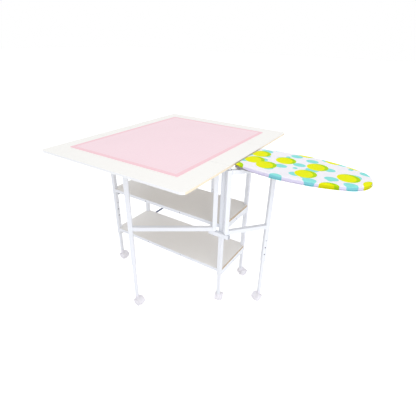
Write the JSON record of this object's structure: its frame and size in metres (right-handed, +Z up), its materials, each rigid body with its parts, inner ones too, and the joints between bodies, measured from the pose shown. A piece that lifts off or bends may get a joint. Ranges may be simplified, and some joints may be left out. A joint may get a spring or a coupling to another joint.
{
  "type": "folding sewing cutting table",
  "caption": "Folding sewing and cutting table on castors: two-shelf trolley, drop leaves, swing-out gate legs, fold-down padded ironing board and a loose cutting mat.",
  "frame": {"origin": "on the floor, at the centre of the footprint of the opened table with its ironing board up", "axes": "+X along the trolley towards the ironing board's nose, +Y to the rear, +Z up"},
  "size_m": [1.516, 1.132, 0.917],
  "materials": {
    "white_steel": "gloss powder coat",
    "cream_laminate": "satin melamine face",
    "shelf_laminate": "satin melamine face",
    "board_wood": "plain particle board",
    "cover_cotton": "printed cotton",
    "pink_mat": "flexible cutting mat",
    "plated_steel": "zinc plate",
    "white_plastic": "moulded",
    "castor_grey": "moulded",
    "castor_white": "moulded"
  },
  "bodies": {
    "trolley": {"post_front_right": "white_steel", "post_front_left": "white_steel", "post_rear_right": "white_steel", "post_rear_left": "white_steel", "top_frame": "white_steel", "lower_shelf_board": "shelf_laminate", "lower_shelf_channels": "white_steel", "lower_shelf_rails": "white_steel", "upper_shelf_board": "shelf_laminate", "upper_shelf_channels": "white_steel", "upper_shelf_rails": "white_steel", "shelf_screws": "plated_steel", "rear_brace": "white_steel", "pivot_brackets": "white_steel", "pivot_pins": "plated_steel", "post_collars": "white_plastic", "centre_top": "cream_laminate", "front_leaf": "cream_laminate", "rear_leaf": "cream_laminate", "front_leaf_hinges": "plated_steel", "rear_leaf_hinges": "plated_steel", "ironing_board": "board_wood", "ironing_pad": "cover_cotton", "ironing_board_hinges": "plated_steel", "cutting_mat": "pink_mat"},
    "front_gate": {"front_gate_frame": "white_steel", "front_gate_fittings": "white_plastic"},
    "rear_gate": {"rear_gate_frame": "white_steel", "rear_gate_fittings": "white_plastic"},
    "end_gate": {"end_gate_frame": "white_steel", "end_gate_fittings": "white_plastic"},
    "leg_front_right": {"leg_front_right": "white_steel"},
    "button_front_right": {"button_front_right": "plated_steel"},
    "castor_front_right": {"castor_body_front_right": "castor_grey"},
    "wheels_front_right": {"castor_wheels_front_right": "castor_white"},
    "leg_front_left": {"leg_front_left": "white_steel"},
    "button_front_left": {"button_front_left": "plated_steel"},
    "castor_front_left": {"castor_body_front_left": "castor_grey"},
    "wheels_front_left": {"castor_wheels_front_left": "castor_white"},
    "leg_rear_right": {"leg_rear_right": "white_steel"},
    "button_rear_right": {"button_rear_right": "plated_steel"},
    "castor_rear_right": {"castor_body_rear_right": "castor_grey"},
    "wheels_rear_right": {"castor_wheels_rear_right": "castor_white"},
    "leg_rear_left": {"leg_rear_left": "white_steel"},
    "button_rear_left": {"button_rear_left": "plated_steel"},
    "castor_rear_left": {"castor_body_rear_left": "castor_grey"},
    "wheels_rear_left": {"castor_wheels_rear_left": "castor_white"},
    "leg_front_gate": {"leg_front_gate": "white_steel"},
    "button_front_gate": {"button_front_gate": "plated_steel"},
    "castor_front_gate": {"castor_body_front_gate": "castor_grey"},
    "wheels_front_gate": {"castor_wheels_front_gate": "castor_white"},
    "leg_rear_gate": {"leg_rear_gate": "white_steel"},
    "button_rear_gate": {"button_rear_gate": "plated_steel"},
    "castor_rear_gate": {"castor_body_rear_gate": "castor_grey"},
    "wheels_rear_gate": {"castor_wheels_rear_gate": "castor_white"},
    "leg_end_gate": {"leg_end_gate": "white_steel"},
    "button_end_gate": {"button_end_gate": "plated_steel"},
    "castor_end_gate": {"castor_body_end_gate": "castor_grey"},
    "wheels_end_gate": {"castor_wheels_end_gate": "castor_white"}
  },
  "joints": [
    {"name": "front_gate_swing", "type": "hinge", "parent": "trolley", "child": "front_gate", "pos_m": [0.0755, -0.178, 0.7], "axis": [0, 0, -1], "range_deg": [-55.3, 34.7]},
    {"name": "rear_gate_swing", "type": "hinge", "parent": "trolley", "child": "rear_gate", "pos_m": [-0.6775, 0.178, 0.7], "axis": [0, 0, -1], "range_deg": [-55.3, 34.7]},
    {"name": "end_gate_swing", "type": "hinge", "parent": "trolley", "child": "end_gate", "pos_m": [0.1465, -0.178, 0.7], "axis": [0, 0, 1], "range_deg": [-50.1, 39.9]},
    {"name": "leg_front_right_slide", "type": "slide", "parent": "trolley", "child": "leg_front_right", "axis": [0, 0, 1], "range_m": [-0.096, 0]},
    {"name": "button_front_right_press", "type": "slide", "parent": "leg_front_right", "child": "button_front_right", "axis": [-1, 0, 0], "range_m": [0, 0.0035]},
    {"name": "castor_front_right_swivel", "type": "hinge", "parent": "leg_front_right", "child": "castor_front_right", "pos_m": [0.1055, -0.15, 0.062], "axis": [0, 0, 1], "continuous": true},
    {"name": "wheels_front_right_roll", "type": "hinge", "parent": "castor_front_right", "child": "wheels_front_right", "pos_m": [0.1011, -0.13358, 0.024], "axis": [-0.9659, -0.2588, 0], "continuous": true},
    {"name": "leg_front_left_slide", "type": "slide", "parent": "trolley", "child": "leg_front_left", "axis": [0, 0, 1], "range_m": [-0.096, 0]},
    {"name": "button_front_left_press", "type": "slide", "parent": "leg_front_left", "child": "button_front_left", "axis": [1, 0, 0], "range_m": [0, 0.0035]},
    {"name": "castor_front_left_swivel", "type": "hinge", "parent": "leg_front_left", "child": "castor_front_left", "pos_m": [-0.7075, -0.15, 0.062], "axis": [0, 0, 1], "continuous": true},
    {"name": "wheels_front_left_roll", "type": "hinge", "parent": "castor_front_left", "child": "wheels_front_left", "pos_m": [-0.69051, -0.14941, 0.024], "axis": [-0.0349, 0.9994, 0], "continuous": true},
    {"name": "leg_rear_right_slide", "type": "slide", "parent": "trolley", "child": "leg_rear_right", "axis": [0, 0, 1], "range_m": [-0.096, 0]},
    {"name": "button_rear_right_press", "type": "slide", "parent": "leg_rear_right", "child": "button_rear_right", "axis": [-1, 0, 0], "range_m": [0, 0.0035]},
    {"name": "castor_rear_right_swivel", "type": "hinge", "parent": "leg_rear_right", "child": "castor_rear_right", "pos_m": [0.1055, 0.15, 0.062], "axis": [0, 0, 1], "continuous": true},
    {"name": "wheels_rear_right_roll", "type": "hinge", "parent": "castor_rear_right", "child": "wheels_rear_right", "pos_m": [0.11295, 0.16528, 0.024], "axis": [-0.8988, 0.4384, 0], "continuous": true},
    {"name": "leg_rear_left_slide", "type": "slide", "parent": "trolley", "child": "leg_rear_left", "axis": [0, 0, 1], "range_m": [-0.096, 0]},
    {"name": "button_rear_left_press", "type": "slide", "parent": "leg_rear_left", "child": "button_rear_left", "axis": [1, 0, 0], "range_m": [0, 0.0035]},
    {"name": "castor_rear_left_swivel", "type": "hinge", "parent": "leg_rear_left", "child": "castor_rear_left", "pos_m": [-0.7075, 0.15, 0.062], "axis": [0, 0, 1], "continuous": true},
    {"name": "wheels_rear_left_roll", "type": "hinge", "parent": "castor_rear_left", "child": "wheels_rear_left", "pos_m": [-0.69152, 0.15581, 0.024], "axis": [-0.342, 0.9397, 0], "continuous": true},
    {"name": "leg_front_gate_slide", "type": "slide", "parent": "front_gate", "child": "leg_front_gate", "axis": [0, 0, 1], "range_m": [-0.096, 0]},
    {"name": "button_front_gate_press", "type": "slide", "parent": "leg_front_gate", "child": "button_front_gate", "axis": [-0.5693, 0.8221, 0], "range_m": [0, 0.0035]},
    {"name": "castor_front_gate_swivel", "type": "hinge", "parent": "leg_front_gate", "child": "castor_front_gate", "pos_m": [-0.29611, -0.43531, 0.062], "axis": [0, 0, 1], "continuous": true},
    {"name": "wheels_front_gate_roll", "type": "hinge", "parent": "castor_front_gate", "child": "wheels_front_gate", "pos_m": [-0.27915, -0.4365, 0.024], "axis": [0.0698, 0.9976, 0], "continuous": true},
    {"name": "leg_rear_gate_slide", "type": "slide", "parent": "rear_gate", "child": "leg_rear_gate", "axis": [0, 0, 1], "range_m": [-0.096, 0]},
    {"name": "button_rear_gate_press", "type": "slide", "parent": "leg_rear_gate", "child": "button_rear_gate", "axis": [0.5693, -0.8221, 0], "range_m": [0, 0.0035]},
    {"name": "castor_rear_gate_swivel", "type": "hinge", "parent": "leg_rear_gate", "child": "castor_rear_gate", "pos_m": [-0.30589, 0.43531, 0.062], "axis": [0, 0, 1], "continuous": true},
    {"name": "wheels_rear_gate_roll", "type": "hinge", "parent": "castor_rear_gate", "child": "wheels_rear_gate", "pos_m": [-0.29739, 0.45004, 0.024], "axis": [-0.866, 0.5, 0], "continuous": true},
    {"name": "leg_end_gate_slide", "type": "slide", "parent": "end_gate", "child": "leg_end_gate", "axis": [0, 0, 1], "range_m": [-0.096, 0]},
    {"name": "button_end_gate_press", "type": "slide", "parent": "leg_end_gate", "child": "button_end_gate", "axis": [0.7672, -0.6414, 0], "range_m": [0, 0.0035]},
    {"name": "castor_end_gate_swivel", "type": "hinge", "parent": "leg_end_gate", "child": "castor_end_gate", "pos_m": [0.30462, 0.01111, 0.062], "axis": [0, 0, 1], "continuous": true},
    {"name": "wheels_end_gate_roll", "type": "hinge", "parent": "castor_end_gate", "child": "wheels_end_gate", "pos_m": [0.29936, -0.00506, 0.024], "axis": [0.9511, -0.309, 0], "continuous": true}
  ]
}
